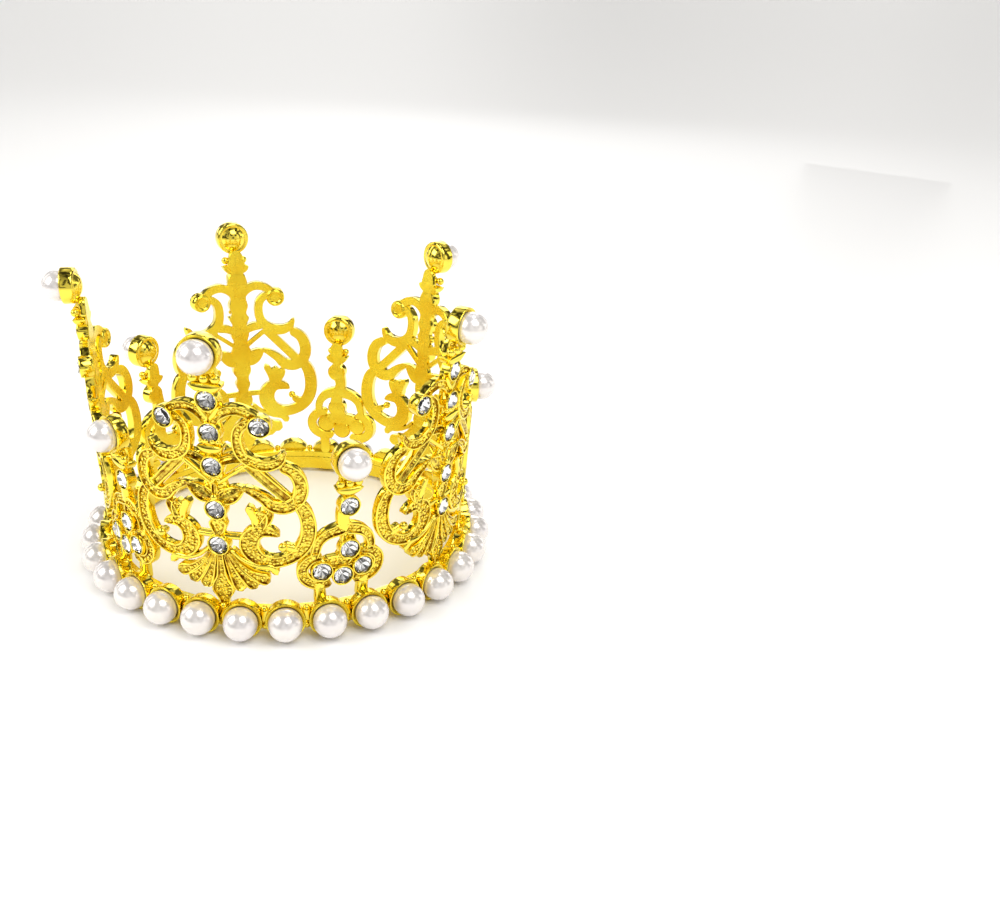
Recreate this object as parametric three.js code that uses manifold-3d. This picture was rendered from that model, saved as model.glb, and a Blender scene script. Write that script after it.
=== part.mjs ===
// A pearl crown: a round cast band with thirty pearl cups, on which five tall and five short openwork
// peaks stand, each ending in a pearl in a domed cup. Millimetres, +Z up. The origin is the centre of
// the ring on the surface that it stands on, and the first tall peak faces -Y.
import * as THREE from 'three';
import { mergeVertices } from 'three/addons/utils/BufferGeometryUtils.js';
import Module from 'manifold-3d';

const wasm = await Module();
wasm.setup();

// ---- Driving dimensions ----
const PEAK_PAIRS = 5; // tall peaks, with one short peak between each two
const PEARLS_PER_PAIR = 6;
const PEARL_R = 3.7;
const CUP_RIM_R = 4.35;
const CUP_BACK_R = 4.02;
const CUP_CENTRE_Z = 4.25; // the rims reach 0.1 mm lower and are shaved flat at Z = 0
const TIP_PEARL_R = 3.55; // at the tips of the peaks, in domed cups
const TIP_RIM_R = 4.15;
const DOME_R = 2.9;
const DOME_BACK = 1.8;
const DOME_SHOULDER = 0.5; // the flat round the dome, behind the sheet's outer face
const DOME_CURVE = 0.3; // how far the dome falls back at half its radius
const DOME_EDGE = 0.1; // how far the dome stands out of its shoulder
const TIP_CUP_FLARE = 0.25; // from the shoulder to the rim
const FACE_R = 42; // outer face of the band and the peaks, at the height of the band pearls
const SHEET = 2; // thickness of the cast metal
const PEARL_STANDOFF = 3.5; // pearl centre in front of the outer face
const CUP_RIM_STANDOFF = 2.4;
const GAP = 0.3; // between pieces that are soldered or glued together
const BOWL_EASE = 0.25; // a bowl's straight side stays clear of the round pearl
const CUT_OVERLAP = 0.1; // a cut reaches this far past the face that it opens
const TALL_TIP = 60.9; // tip pearl above the band pearls
const SHORT_TIP = 36.6;
const SHORT_TIP_SHIFT = 0.6; // the short peak's scrolls lean a little to one side
const TALL_LEAN = 0.0557; // radians outwards
const SHORT_LEAN = 0.018;
const STRIP_LOW = -3.2; // the band's strip, above and below the pearl centres
const STRIP_HIGH = 2.0;
const SETTING_R = 2.45;
const SETTING_PROUD = 0.6; // in front of the sheet
const SIDE_SETTING_BACK = 0.5; // behind it, on the two side settings of a tall peak; the others are flush
const CREST_WALL_R = 2.7; // the setting under a tall peak's tip, with its stone in a recess
const CREST_SEAT_R = 2.25;
const CREST_SEAT_DEPTH = 0.7;
const STONE_R = 1.9;
const STONE_BACK_R = 1.2;
const STONE_TABLE_R = 1.1;
const STONE_GIRDLE = 0.55; // above the stone's back
const STONE_HEIGHT = 1.3;

const CUP_SIDES = 8; // facets of cups and pearls, which line up
const SETTING_SIDES = 8;
const OUTLINE_TOLERANCE = 0.1; // smaller notches between overlapping scrolls are smoothed away
const FACE_TOLERANCE = 0.03; // nearly flat neighbours become one facet

// ---- Materials ----
const gold = new THREE.MeshStandardMaterial({ color: 0xe8b923, roughness: 0.22, metalness: 1.0 });
const pearl = new THREE.MeshStandardMaterial({ color: 0xf4efe6, roughness: 0.25, metalness: 0.0 });
const crystal = new THREE.MeshStandardMaterial({ color: 0xdfe3e6, roughness: 0.05, metalness: 0.0 });

// ---- Solids ----
function solidFrom(geometry) {
  const bare = geometry.index ? geometry.toNonIndexed() : geometry.clone();
  bare.deleteAttribute('normal');
  bare.deleteAttribute('uv');
  const merged = mergeVertices(bare, 1e-4);
  return new wasm.Manifold(new wasm.Mesh({
    numProp: 3,
    vertProperties: new Float32Array(merged.attributes.position.array),
    triVerts: new Uint32Array(merged.index.array),
  }));
}

function geometryFrom(solid) {
  const mesh = solid.getMesh();
  const geometry = new THREE.BufferGeometry();
  const positions = new Float32Array(mesh.numVert * 3);
  for (let i = 0; i < mesh.numVert; i += 1) {
    for (let k = 0; k < 3; k += 1) positions[3 * i + k] = mesh.vertProperties[mesh.numProp * i + k];
  }
  geometry.setAttribute('position', new THREE.BufferAttribute(positions, 3));
  geometry.setIndex([...mesh.triVerts]);
  return geometry;
}

function join(solids) {
  return solids.reduce((sum, solid) => sum.add(solid));
}

function finished(solid, name, material) {
  const geometry = geometryFrom(solid.asOriginal().simplify(FACE_TOLERANCE)).toNonIndexed();
  geometry.computeVertexNormals();
  const mesh = new THREE.Mesh(geometry, material.clone());
  mesh.name = name;
  return mesh;
}

// ---- Flat outlines, in a casting's own sheet: x along the ring, y up from the pearl centres ----
// A scroll is a list of [x, y, width]; its outline runs up one side of the middle line and down the other.
function scroll(points) {
  const left = [];
  const right = [];
  points.forEach(([x, y, width], i) => {
    const [fromX, fromY] = points[Math.max(i - 1, 0)];
    const [toX, toY] = points[Math.min(i + 1, points.length - 1)];
    const across = new THREE.Vector2(fromY - toY, toX - fromX).setLength(width / 2);
    left.push(new THREE.Vector2(x, y).add(across));
    right.push(new THREE.Vector2(x, y).sub(across));
  });
  return new THREE.Shape([...left, ...right.reverse()]);
}

function disc([x, y], radius) {
  const points = [];
  for (let i = 0; i < SETTING_SIDES; i += 1) {
    const turn = (2 * Math.PI * (i + 0.5)) / SETTING_SIDES;
    points.push(new THREE.Vector2(x + radius * Math.cos(turn), y + radius * Math.sin(turn)));
  }
  return new THREE.Shape(points);
}

const mirrored = (points) => points.map(([x, y, width]) => [-x, y, width]);

function slab(shape, back, front) {
  const block = new THREE.ExtrudeGeometry(shape, { depth: front - back, bevelEnabled: false, steps: 1 });
  block.translate(0, 0, back);
  return solidFrom(block);
}

// The openwork sheet, with a round stone setting at each place in stones.
function openwork(shapes, stones) {
  const sheet = join(shapes.map((shape) => slab(shape, -SHEET, 0))).asOriginal().simplify(OUTLINE_TOLERANCE);
  return join([sheet, ...stones.map((place) => slab(disc(place, SETTING_R), -SHEET, SETTING_PROUD))]);
}

// A point of a sheet that leans outwards by lean, at x along the ring, y up and z out of the outer face.
function onRing(x, y, z, lean) {
  const turn = x / FACE_R;
  const radius = FACE_R + z * Math.cos(lean) + y * Math.sin(lean);
  const height = CUP_CENTRE_Z + y * Math.cos(lean) - z * Math.sin(lean);
  return new THREE.Vector3(radius * Math.sin(turn), -radius * Math.cos(turn), height);
}

// The sheet bent round the ring, corner by corner.
function bent(sheet, lean) {
  const geometry = geometryFrom(sheet);
  const places = geometry.getAttribute('position');
  for (let i = 0; i < places.count; i += 1) {
    places.setXYZ(i, ...onRing(places.getX(i), places.getY(i), places.getZ(i), lean).toArray());
  }
  return solidFrom(geometry);
}

// A round piece, made by turning a [radius, out] profile, set square on the sheet at x, y.
function turned(profile, x, y, lean, sides = CUP_SIDES) {
  const lathe = new THREE.LatheGeometry(profile.map(([r, out]) => new THREE.Vector2(r, out)), sides);
  const origin = onRing(x, y, 0, lean);
  const outward = onRing(x, y, 1, lean).sub(origin).normalize();
  const upward = onRing(x, y + 1, 0, lean).sub(origin).normalize();
  const across = new THREE.Vector3().crossVectors(outward, upward);
  lathe.applyMatrix4(new THREE.Matrix4().makeBasis(across, outward, upward).setPosition(origin));
  return solidFrom(lathe);
}

// ---- Round pieces, as [radius, out] profiles ----
// The hollow that clears a pearl all round.
function bowl(pearlRadius) {
  const clear = pearlRadius + GAP;
  const radiusAt = (out) => Math.sqrt(clear ** 2 - (PEARL_STANDOFF - out) ** 2);
  const mouth = CUP_RIM_STANDOFF + CUT_OVERLAP;
  return [[0, PEARL_STANDOFF - clear], [radiusAt(0) + BOWL_EASE, 0],
    [radiusAt(CUP_RIM_STANDOFF) + BOWL_EASE / 4, mouth], [0, mouth]];
}

const bandCup = [[0, -SHEET], [CUP_BACK_R, -SHEET], [CUP_RIM_R, CUP_RIM_STANDOFF], [0, CUP_RIM_STANDOFF]];
const domedCup = [
  [0, -DOME_BACK],
  [DOME_R / 2, -DOME_BACK + DOME_CURVE],
  [DOME_R, -DOME_SHOULDER - DOME_EDGE],
  [TIP_RIM_R - TIP_CUP_FLARE, -DOME_SHOULDER],
  [TIP_RIM_R, CUP_RIM_STANDOFF],
  [0, CUP_RIM_STANDOFF],
];
const CREST_SEAT_FLOOR = SETTING_PROUD - CREST_SEAT_DEPTH;
const STONE_BACK = CREST_SEAT_FLOOR + GAP;
const crestStone = [
  [0, STONE_BACK],
  [STONE_BACK_R, STONE_BACK],
  [STONE_R, STONE_BACK + STONE_GIRDLE],
  [STONE_TABLE_R, STONE_BACK + STONE_HEIGHT],
  [0, STONE_BACK + STONE_HEIGHT],
];

function withDomedCup(peak, x, y, lean) {
  return peak.add(turned(domedCup, x, y, lean)).subtract(turned(bowl(TIP_PEARL_R), x, y, lean));
}

// ---- The tall peak ----
const CREST = [0, 50.5];
const COLUMN_STONES = [[0, 43.4], [0, 35.9], [0, 25.9], [0, 17.4]];
const SIDE_STONES = [[-9.5, 45.4], [9.5, 45.4]];
const TALL_SCROLLS = [
  // the large lower scroll with its eye and leaf, and the hook inside it
  [[16.6, 27.2, 2.6], [18.3, 23.2, 3.3], [18.2, 19, 3.4], [16, 15.5, 3], [13, 13.9, 2.8], [9.8, 13.7, 3],
    [7.1, 15.3, 3.9], [6.2, 18, 4.2], [7.7, 20.8, 3.3], [10.3, 21.1, 2.6], [12.6, 20.1, 0.8]],
  [[16.2, 16.6, 2], [13.3, 17.5, 1.6]],
  // the upper scroll, the bar across it and the fine bar beside it
  [[12.6, 36.4, 2.2], [15.8, 34.6, 2.7], [17, 31, 3], [15.4, 27.6, 3], [12.2, 26.9, 2.8], [9.6, 28.9, 2.3],
    [5.6, 31.2, 0.8]],
  [[7, 36.4, 2], [13.8, 29, 2]],
  [[0.8, 31.9, 1.1], [6.2, 36.2, 1.1]],
  // the horn that holds the side stone, and the ribbon over it
  [[9, 46, 1.8], [6.2, 45.2, 2], [5, 41.5, 2.2], [6.2, 38.2, 2.5], [9.4, 36.6, 2.6], [12.7, 37.4, 2.2],
    [14.1, 39.6, 0.8]],
  [[0.6, 45.2, 1.6], [2.8, 48, 2.1], [6, 48.5, 2.2], [9.3, 46.4, 2]],
  // side leaf, veined leaf, tulip and its curl, and the crossbar
  [[0.8, 36.6, 1.6], [6.2, 37.9, 2]],
  [[0.4, 28.2, 2.4], [3.4, 29.4, 3.8], [5.9, 31.2, 1]],
  [[8.4, 21.4, 2.6], [9.1, 26.6, 3.8]],
  [[8.8, 25.4, 1.8], [6.7, 26.9, 1.5]],
  [[0.4, 19.2, 1.3], [5.4, 19.2, 1.3]],
];
const TALL_COLUMN = [
  [0, 14.5, 3.6], [0, 17.4, 4.4], [0, 19.5, 2.6], [0, 22.4, 4], [0, 25.9, 4.8], [0, 31, 5.2],
  [0, 33.6, 3.6], [0, 38.2, 3.8], [0, 40, 5], [0, 41.6, 3.9], [0, 45.6, 4.2], [0, 50.5, 4.8],
  [0, 52.6, 3.2], [0, 55.8, 5.6], [0, 57.8, 3.2],
];
const TALL_COLLARS = [[[-2.5, 40.5, 0.9], [0, 39.9, 2.1], [2.5, 40.5, 0.9]],
  [[-3.2, 54.2, 1], [0, 53.7, 2.2], [3.2, 54.2, 1]]];
// right half of the fluted shell, from the slot under the scroll round the flute tips to the foot
const SHELL = [
  [1.6, 16.5], [3.4, 14], [5.6, 12.4], [8.4, 11.6], [10, 12.6], [11.6, 11.2], [9.9, 8.9], [8.4, 8.5],
  [7.4, 7.1], [5.8, 7.3], [4.7, 6], [3.2, 6.5], [1.9, 5], [1.6, 3.9], [0.5, 2.3],
];

function tallPeak() {
  const shell = [...SHELL, ...mirrored(SHELL).reverse()].map(([x, y]) => new THREE.Vector2(x, y));
  const shapes = [
    new THREE.Shape(shell),
    scroll(TALL_COLUMN),
    ...TALL_COLLARS.map(scroll),
    ...TALL_SCROLLS.map(scroll),
    ...TALL_SCROLLS.map(mirrored).map(scroll),
  ];
  const sideBack = -SHEET - SIDE_SETTING_BACK;
  const flat = openwork(shapes, COLUMN_STONES)
    .add(join(SIDE_STONES.map((place) => slab(disc(place, SETTING_R), sideBack, SETTING_PROUD))))
    .add(slab(disc(CREST, CREST_WALL_R), -SHEET, SETTING_PROUD))
    .subtract(slab(disc(CREST, CREST_SEAT_R), CREST_SEAT_FLOOR, SETTING_PROUD + CUT_OVERLAP));
  return withDomedCup(bent(flat, TALL_LEAN), 0, TALL_TIP, TALL_LEAN);
}

// ---- The short peak ----
const FLOWER_X = -0.85; // centre of the flower and the two legs
const SHORT_STONES = [[-4.5, 10.6], [4.5, 10.6], [0, 9], [1.5, 15.2], [1.5, 25.5]];
const SHORT_LOBE = [[4.2, 13.7, 1.6], [7.2, 13.1, 2.4], [8.6, 10.6, 2.6], [7, 7.8, 2.6], [2.4, 7.2, 2]];
const SHORT_LEG = [[5.2, 7.6, 3], [4.9, 4.75, 2.3]];
const SHORT_SCROLLS = [
  // the arch, one side at a time
  [[-6.3, 13.4, 1.8], [-5.2, 17.1, 2.2], [-3.6, 18.9, 2.5], [0.8, 20.2, 2.8]],
  [[6.3, 13.4, 1.8], [6.2, 17.1, 2.2], [4.6, 18.9, 2.5], [0.8, 20.2, 2.8]],
  // the web between the stones
  [[-4.4, 12.2, 2.4], [-0.6, 12, 3.6], [4.4, 12.2, 2.4]],
  [[-0.4, 11.4, 4], [1.5, 15.2, 3.6], [1.2, 19.4, 3]],
  // the curved stem and its collar
  [[0.8, 19.6, 3.2], [0.3, 22.2, 2.9], [0.7, 24.4, 3.2], [1.5, 26.6, 3.4], [1.45, 28.6, 2.5],
    [1.45, 30.6, 3.7], [1.45, 32, 4.4], [1.45, 33.6, 3]],
  [[-1.3, 30.5, 0.9], [1.45, 30, 2.1], [4.2, 30.5, 0.9]],
];

function shortPeak() {
  const shifted = (points) => points.map(([x, y, width]) => [x + FLOWER_X, y, width]);
  const pieces = [SHORT_LOBE, mirrored(SHORT_LOBE), SHORT_LEG, mirrored(SHORT_LEG), ...SHORT_SCROLLS];
  const flat = openwork(pieces.map(shifted).map(scroll), shifted(SHORT_STONES));
  return withDomedCup(bent(flat, SHORT_LEAN), SHORT_TIP_SHIFT, SHORT_TIP, SHORT_LEAN);
}

// ---- The band ----
function band() {
  const inner = FACE_R - SHEET;
  const low = CUP_CENTRE_Z + STRIP_LOW;
  const high = CUP_CENTRE_Z + STRIP_HIGH;
  const profile = [[inner, low], [FACE_R, low], [FACE_R, high], [inner, high], [inner, low]];
  const sides = PEAK_PAIRS * PEARLS_PER_PAIR;
  let ring = solidFrom(new THREE.LatheGeometry(profile.map(([r, z]) => new THREE.Vector2(r, z)), sides)
    .rotateX(Math.PI / 2));
  const cups = [];
  const bowls = [];
  for (let i = 0; i < sides; i += 1) {
    const x = pearlTurn(i) * FACE_R;
    cups.push(turned(bandCup, x, 0, 0));
    bowls.push(turned(bowl(PEARL_R), x, 0, 0));
  }
  ring = join([ring, ...cups]).subtract(join(bowls));
  const under = new THREE.BoxGeometry(4 * FACE_R, 4 * FACE_R, CUP_CENTRE_Z);
  under.translate(0, 0, -CUP_CENTRE_Z / 2);
  return ring.subtract(solidFrom(under));
}

// The pearls straddle the middle of each peak.
function pearlTurn(i) {
  return (2 * Math.PI * (i + 0.5)) / (PEAK_PAIRS * PEARLS_PER_PAIR);
}

function pearlAt(radius, x, y, lean, turn, name) {
  const ball = new THREE.SphereGeometry(radius, CUP_SIDES, 6);
  const mesh = new THREE.Mesh(ball, pearl.clone());
  mesh.position.copy(onRing(x, y, PEARL_STANDOFF, lean));
  mesh.rotation.z = x / FACE_R;
  mesh.name = name;
  const holder = new THREE.Group();
  holder.rotation.z = turn;
  holder.add(mesh);
  return holder;
}

function turnedCopy(mesh, turn, name) {
  const copy = mesh.clone();
  copy.material = mesh.material.clone();
  copy.rotation.z = turn;
  copy.name = name;
  return copy;
}

// ---- The assembly ----
const crown = new THREE.Group();
crown.name = 'pearl_crown';
crown.add(finished(band(), 'base_band', gold));

for (let i = 0; i < PEAK_PAIRS * PEARLS_PER_PAIR; i += 1) {
  crown.add(pearlAt(PEARL_R, 0, 0, 0, pearlTurn(i), `base_pearl_${i + 1}`));
}

const tall = finished(tallPeak(), 'tall_peak', gold);
const short = finished(shortPeak(), 'short_peak', gold);
const crest = finished(turned(crestStone, ...CREST, TALL_LEAN), 'crest_stone', crystal);
for (let i = 0; i < PEAK_PAIRS; i += 1) {
  const tallTurn = (2 * Math.PI * i) / PEAK_PAIRS;
  const shortTurn = tallTurn + Math.PI / PEAK_PAIRS;
  crown.add(turnedCopy(tall, tallTurn, `tall_peak_${i + 1}`));
  crown.add(turnedCopy(crest, tallTurn, `crest_stone_${i + 1}`));
  crown.add(pearlAt(TIP_PEARL_R, 0, TALL_TIP, TALL_LEAN, tallTurn, `tall_tip_pearl_${i + 1}`));
  crown.add(turnedCopy(short, shortTurn, `short_peak_${i + 1}`));
  const shortTip = [SHORT_TIP_SHIFT, SHORT_TIP, SHORT_LEAN];
  crown.add(pearlAt(TIP_PEARL_R, ...shortTip, shortTurn, `short_tip_pearl_${i + 1}`));
}

export default crown;
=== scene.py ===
import math
import random

import bmesh
import bpy
from bpy.props import FloatProperty, FloatVectorProperty, PointerProperty
from bpy.types import Operator, Panel, PropertyGroup
from mathutils import Matrix, Vector


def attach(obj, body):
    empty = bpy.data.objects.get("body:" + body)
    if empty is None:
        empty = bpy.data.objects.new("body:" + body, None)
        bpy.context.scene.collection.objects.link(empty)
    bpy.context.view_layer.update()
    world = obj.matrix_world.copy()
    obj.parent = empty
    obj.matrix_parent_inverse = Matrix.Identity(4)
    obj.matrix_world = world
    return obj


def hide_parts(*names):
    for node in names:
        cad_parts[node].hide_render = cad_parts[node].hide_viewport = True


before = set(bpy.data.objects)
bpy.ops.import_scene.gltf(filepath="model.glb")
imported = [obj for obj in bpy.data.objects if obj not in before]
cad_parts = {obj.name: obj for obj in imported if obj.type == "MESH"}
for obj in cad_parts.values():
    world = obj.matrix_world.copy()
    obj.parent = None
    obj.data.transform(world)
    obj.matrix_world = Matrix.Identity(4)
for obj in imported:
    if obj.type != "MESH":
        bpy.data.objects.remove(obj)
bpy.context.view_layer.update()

bl_info = {
    "name": "Pearl Crown",
    "version": (1, 0, 0),
    "blender": (4, 5, 0),
    "location": "3D View > Sidebar > Crown",
    "description": "Models the castings, pearls and stones of a pearl crown on its packed frame",
    "category": "Object",
}

MM = 0.001

# ---- The ring that every casting is bent to, in millimetres ----
PEAK_PAIRS = 5
PEARLS = 30
FACE_R = 42.0  # radius of the castings' face
CUP_CENTRE_Z = 4.25
PEARL_STANDOFF = 3.5  # from a casting's face out to the middle of a pearl
TALL_TIP = 60.9  # heights above the middle of the band cups
SHORT_TIP = 36.6
SHORT_TIP_SHIFT = 0.6
FLOWER_X = -0.85
TALL_LEAN = 0.0557  # outwards, in radians
SHORT_LEAN = 0.018
CREST = (0, 50.5)  # the stone at the head of a tall peak's column

# ---- The tall peak's right half: finish, lift, then x, y and width along the scroll ----
TALL_SIDE = [
    # the large lower scroll with its eye and leaf, and the hook inside it
    ("grained", 0.0, [[16.4, 27.6, 2.6], [17.9, 24.8, 3.1], [18.4, 21.2, 3.3], [17.7, 17.9, 3.3],
                      [15.7, 15.3, 3.0], [13, 13.9, 2.8], [10.2, 13.7, 3.0], [7.7, 14.8, 3.7],
                      [6.3, 17.1, 4.2], [6.8, 19.7, 3.9], [8.7, 21.1, 3], [10.9, 20.9, 2.2],
                      [12.6, 20.1, 0.8]]),
    ("smooth", -0.1, [[16.2, 16.4, 2.2], [14.7, 16.7, 1.8], [13.2, 17.6, 1.5]]),
    # the upper scroll, the double bar across it and the fine bar beside it
    ("grained", 0.04, [[13, 36.4, 2.2], [15.8, 34.7, 2.7], [17, 31.6, 3], [16.4, 28.6, 3], [14, 26.8, 3],
                       [11.4, 27.2, 2.8], [9.6, 28.9, 2.3], [7.4, 30.4, 1.7], [5.6, 31.2, 0.8]]),
    ("ribbed", -0.12, [[6.2, 37.2, 2.2], [10.4, 32.8, 2.3], [15.4, 27.6, 2.2]]),
    ("smooth", -0.25, [[0.8, 31.9, 1.1], [3.4, 34, 1.1], [7.6, 37.2, 1.1]]),
    # the horn that holds the side stone, and the ribbon over it
    ("grained", 0.07, [[9, 46.2, 1.8], [7.2, 46, 1.9], [5.5, 44.4, 2.1], [5.1, 41.5, 2.2], [5.9, 38.8, 2.4],
                       [8.2, 37, 2.6], [11, 36.6, 2.6], [13, 37.6, 2], [14.1, 39.6, 0.8]]),
    ("grained", 0.02, [[0.6, 45.2, 1.6], [2, 47.4, 2], [4.2, 48.6, 2.2], [6.8, 48.2, 2.1], [9.3, 46.4, 2]]),
    # side leaf, veined leaf, tulip and its curl, and the crossbar
    ("veined", -0.05, [[0.8, 36.4, 1.6], [3.6, 37.7, 2.2], [6.2, 37.9, 1.8]]),
    ("veined", 0.1, [[0.4, 28.2, 2.4], [2.6, 29, 3.8], [4.4, 30.2, 3], [5.9, 31.2, 1]]),
    ("smooth", 0.04, [[8.1, 22.6, 1.6], [7.3, 24.8, 1.8], [6.3, 26.9, 1.8]]),
    ("veined", 0.05, [[9.0, 22.2, 1.8], [10.2, 24.0, 2.1], [11.1, 25.8, 1.4]]),
    ("grained", 0.09, [[8.5, 21.2, 2.2], [8.6, 23.2, 3.3], [8.9, 25.2, 2.9], [9.0, 26.2, 1.6]]),
    ("smooth", -0.3, [[0.4, 19.2, 1.3], [3, 19.2, 1.3], [5.4, 19.2, 1.3]]),
    # the flutes of the shell
    ("grained", -0.12, [[1.0, 15.1, 0.8], [1.9, 11.9, 1.4], [3.1, 8.6, 2.6], [4.3, 6.1, 3.3]]),
    ("grained", -0.03, [[1.6, 15.2, 0.8], [3.2, 12.2, 1.4], [5.3, 9.4, 2.6], [7.4, 7.1, 3.3]]),
    ("grained", 0.05, [[2.1, 15.4, 0.8], [4.0, 12.6, 1.4], [6.9, 10.1, 2.3], [10.3, 8.9, 3.3]]),
    ("smooth", 0.05, [[2.4, 16.2, 0.9], [4.7, 14.0, 1.0], [7.8, 12.6, 1.2], [10.6, 12.1, 1.7],
                      [11.9, 10.6, 2.0]]),
]
# up the middle: centre flute and foot, then the column in its lengths
TALL_MIDDLE = [
    ("grained", 0.06, [[0, 16, 0.9], [0, 12, 1.7], [0, 9.2, 2.6], [0, 7.2, 4.6], [0, 5.4, 4.8],
                       [0, 4.2, 3.2], [0, 3.0, 2.1], [0, 1.5, 1.8]]),
    ("flat", 0.0, [[0, 14.8, 3.2], [0, 17.4, 4.2], [0, 19.5, 2.4], [0, 22, 3.6], [0, 23.8, 3.2],
                   [0, 25.9, 4.6], [0, 28, 4.2], [0, 31, 5.2], [0, 33.6, 3.6], [0, 35.9, 4.6],
                   [0, 38.2, 3.6], [0, 40, 4.9], [0, 41.6, 3.8], [0, 43.4, 4.8], [0, 45.6, 4.0],
                   [0, 48, 5.0], [0, 50.5, 4.8], [0, 52.6, 3.0], [0, 54.2, 4.4], [0, 56.2, 3.6],
                   [0, 58.2, 3.0]]),
    # the bud over the lowest stone, the five petals, the joint under the crest, and the two collars
    ("grained", 0.06, [[0, 19.4, 1.7], [0, 21, 3.2], [0, 22.4, 3.9], [0, 23.9, 2.6]]),
    ("veined", 0.14, [[0, 28.6, 1.0], [0, 30.4, 1.5], [0, 32.2, 0.7]]),
    ("veined", 0.16, [[0.3, 28.8, 0.9], [1.3, 29.9, 1.4], [2.2, 31, 0.6]]),
    ("veined", 0.16, [[-0.3, 28.8, 0.9], [-1.3, 29.9, 1.4], [-2.2, 31, 0.6]]),
    ("smooth", 0.1, [[0.2, 46.2, 1.2], [1.2, 47.7, 1.1], [2.1, 49.2, 0.9]]),
    ("smooth", 0.1, [[-0.2, 46.2, 1.2], [-1.2, 47.7, 1.1], [-2.1, 49.2, 0.9]]),
    ("round", 0.45, [[-2.5, 40.5, 1.0], [-1.4, 39.9, 2.0], [0, 39.7, 2.4], [1.4, 39.9, 2.0],
                     [2.5, 40.5, 1.0]]),
    ("round", 0.7, [[-3.1, 53.9, 1.0], [-1.7, 53.3, 2.2], [0, 53.1, 2.6], [1.7, 53.3, 2.2],
                    [3.1, 53.9, 1.0]]),
]
TALL_STONES = [(0, 43.4), (0, 35.9), (0, 25.9), (0, 17.4), (-9.5, 45.4), (9.5, 45.4)]
TALL_BEADS = [(0, 28.9, 0.75), (13.1, 17.7, 0.95), (-13.1, 17.7, 0.95),
              (-2.1, 55.3, 0.95), (0, 55.2, 0.95), (2.1, 55.3, 0.95),
              (-1.7, 41.6, 0.5), (-0.6, 41.7, 0.5), (0.6, 41.7, 0.5), (1.7, 41.6, 0.5)]
# right half of the plate behind the flutes
SHELL = [(1.6, 16.3), (3.2, 13.8), (5.6, 11.6), (8.6, 10.3), (10.2, 9.0), (8.8, 8.2), (7.4, 6.9), (5.8, 6.9),
         (4.4, 5.9), (3.0, 6.2), (1.7, 5.2), (1.2, 3.9), (0.3, 2.6)]
SHELL_INSET = 0.02  # of its back from the castings' back
SHELL_FRONT = -1.3

# ---- The short peak, from the middle of its flower ----
SHORT_SIDE = [
    ("grained", 0.0, [[4.2, 13.9, 1.6], [6.7, 13.5, 2.4], [8.5, 11.4, 2.6], [8.1, 8.9, 2.6], [6, 7.3, 2.4],
                      [2.4, 7.2, 2]]),
    ("smooth", -0.08, [[5.2, 7.6, 3.2], [4.9, 5.6, 2.6], [4.8, 3.6, 2.8], [4.8, 1.6, 2.8]]),
]
SHORT_MIDDLE = [
    ("grained", 0.04, [[-6.3, 13.4, 1.8], [-5.6, 15.6, 2], [-5.1, 17.3, 2.2], [-3.6, 18.9, 2.5],
                       [-1, 19.8, 2.8], [1.2, 20.2, 2.8]]),
    ("grained", 0.07, [[6.3, 13.4, 1.8], [6.6, 15.4, 2], [6, 17.4, 2.2], [4.6, 18.9, 2.5], [2.2, 19.8, 2.8],
                       [0.4, 20.2, 2.8]]),
    ("grained", -0.1, [[-4.4, 12.4, 2.2], [-0.6, 12.2, 3.2], [4.4, 12.4, 2.2]]),
    ("grained", -0.04, [[-0.4, 11.4, 4], [1.5, 15.2, 3.6], [1.2, 19.4, 3]]),
    ("smooth", 0.02, [[0.8, 19.6, 3.2], [0.3, 22.2, 2.9], [0.7, 24.4, 3.2], [1.5, 26.6, 3.4],
                      [1.45, 28.2, 2.5]]),
    ("flat", 0.05, [[1.45, 27.4, 2.4], [1.45, 29.4, 2.6], [1.45, 30.6, 3.6], [1.45, 31.8, 3.4],
                    [1.45, 34, 3]]),
    ("round", 0.7, [[-1.4, 29.8, 1.0], [0, 29.3, 2.1], [1.45, 29.1, 2.4], [2.9, 29.3, 2.1],
                    [4.3, 29.8, 1.0]]),
]
SHORT_STONES = [(x + FLOWER_X, y) for x, y in ((-4.5, 10.6), (4.5, 10.6), (0, 9), (1.5, 15.2), (1.5, 25.5))]
SHORT_BEADS = [(x + FLOWER_X, y, r) for x, y, r in ((-0.5, 31.0, 0.92), (1.45, 30.9, 0.92), (3.4, 31.0, 0.92))]

# ---- Turned pieces, as radius and distance out of the sheet's face ----
STONE_SEAT = [(2.45, 0.2), (2.42, 0.45), (2.32, 0.58), (2.16, 0.56), (2.08, 0.4), (2.05, -0.1), (1.3, -0.75),
              (0, -0.95)]
SETTING = [(0, -2.04), (1.6, -2.04), (2.15, -1.95), (2.38, -1.7), *STONE_SEAT]
ROUND_SETTING = [(0, -1.95), (1.2, -2.0), (1.45, -2.3), (1.75, -2.42), (2.15, -2.25), (2.4, -1.8),
                 *STONE_SEAT]
DOMED_CUP = [(0, -1.8), (0.8, -1.74), (1.6, -1.54), (2.3, -1.15), (2.75, -0.72), (2.95, -0.55), (3.2, -0.62),
             (3.6, -0.62), (3.88, -0.42), (4.0, -0.1), (4.04, 1.0), (4.08, 2.1), (4.04, 2.32), (3.98, 2.4),
             (3.8, 2.37), (3.6, 2.22), (3.36, 2.1), (3.2, 1.75), (2.8, 1.2), (2.0, 0.5), (0, 0)]
BAND_CUP = [(0, -0.6), (3.7, -0.6), (3.98, -0.53), (4.1, -0.35), (4.14, 0), (4.22, 0.9), (4.35, 2.1),
            (4.3, 2.32), (4.18, 2.4), (4.0, 2.37), (3.78, 2.22), (3.53, 2.1), (3.35, 1.75), (2.9, 1.1),
            (2.0, 0.3), (0, -0.1)]
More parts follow.
